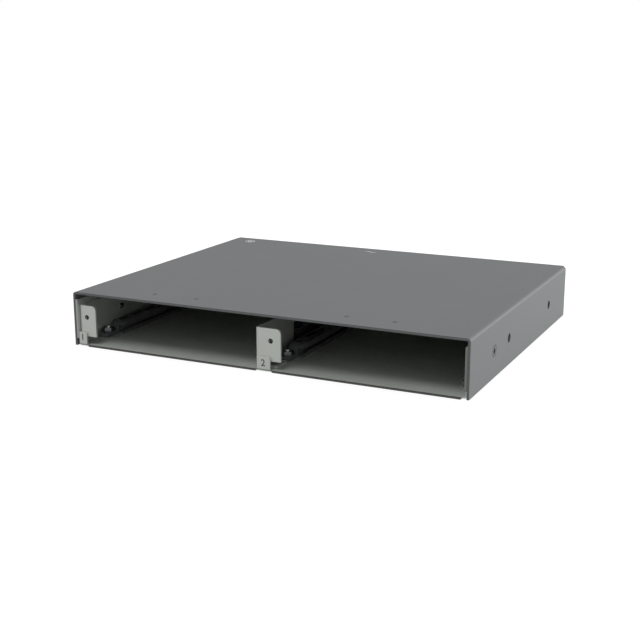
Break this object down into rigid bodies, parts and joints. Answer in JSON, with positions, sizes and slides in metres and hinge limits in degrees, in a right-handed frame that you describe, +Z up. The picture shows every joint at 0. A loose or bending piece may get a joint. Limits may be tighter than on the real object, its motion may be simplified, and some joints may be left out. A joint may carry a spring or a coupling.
{
  "type": "media converter chassis",
  "caption": "Flat desktop steel chassis for plug-in media converter modules lying side by side, open at the front, with card guides, a backplane and a built-in power supply behind",
  "frame": {"origin": "on the surface that the chassis stands on, below the middle of the whole object's box", "axes": "+X to the right seen from the open front, +Y from the open front to the rear, +Z up"},
  "size_m": [0.21, 0.178, 0.028],
  "materials": {
    "painted_steel": "dark grey fine-texture powder coat",
    "plated_steel": "zinc-plated sheet, dull and slightly greenish",
    "bright_steel": "bright zinc plating",
    "nickel": "nickel-plated contact metal",
    "aluminium": "plain rolled",
    "black_plastic": "moulded, slightly textured",
    "white_plastic": "moulded nylon",
    "green_board": "solder resist on glass epoxy",
    "insulator": "thin insulating film",
    "yellow_box": "capacitor case",
    "black_epoxy": "moulded epoxy",
    "ferrite": "pressed and ground ferrite",
    "copper_wire": "enamelled copper wire",
    "yellow_tape": "polyester tape over the winding",
    "capacitor_sleeve": "shrink sleeve",
    "fuse_glass": "glass tube with plated caps",
    "earth_wire": "green and yellow insulation",
    "mains_wire": "brown insulation",
    "supply_wire": "red insulation"
  },
  "bodies": {
    "root": {"top_cover": "painted_steel", "base_tray": "plated_steel", "cover_side_screws": "nickel", "cover_rear_screws": "bright_steel", "side_clinch_nuts": "bright_steel", "left_slot_bracket": "plated_steel", "centre_slot_bracket": "plated_steel", "card_guide_1_left": "black_plastic", "card_guide_1_right": "black_plastic", "card_guide_2_left": "black_plastic", "card_guide_2_right": "black_plastic", "card_guide_studs": "bright_steel", "card_guide_nuts": "bright_steel", "bulkhead": "plated_steel", "bulkhead_studs": "bright_steel", "bulkhead_nuts": "bright_steel", "backplane_board": "green_board", "backplane_spacers": "bright_steel", "backplane_screws": "bright_steel", "backplane_header": "black_plastic", "module_connector_1": "black_plastic", "module_connector_2": "black_plastic", "supply_board": "green_board", "supply_standoffs": "bright_steel", "supply_screws": "bright_steel", "insulator_sheet": "insulator", "mains_header": "white_plastic", "fuse": "fuse_glass", "fuse_clips": "bright_steel", "suppression_capacitor": "yellow_box", "choke_core": "ferrite", "choke_winding": "copper_wire", "bridge_rectifier": "black_epoxy", "bulk_capacitor": "capacitor_sleeve", "switching_transistor": "black_epoxy", "transistor_screw": "bright_steel", "heat_sink": "aluminium", "transformer_core": "ferrite", "transformer_winding": "yellow_tape", "output_capacitors": "capacitor_sleeve", "output_header": "black_plastic", "inlet_body": "black_plastic", "inlet_pins": "nickel", "inlet_screws": "bright_steel", "inlet_nuts": "bright_steel", "earth_stud": "bright_steel", "earth_nuts": "bright_steel", "earth_washer": "bright_steel", "earth_lug": "bright_steel", "earth_lead": "earth_wire", "mains_leads": "mains_wire", "supply_leads": "supply_wire"}
  },
  "joints": []
}
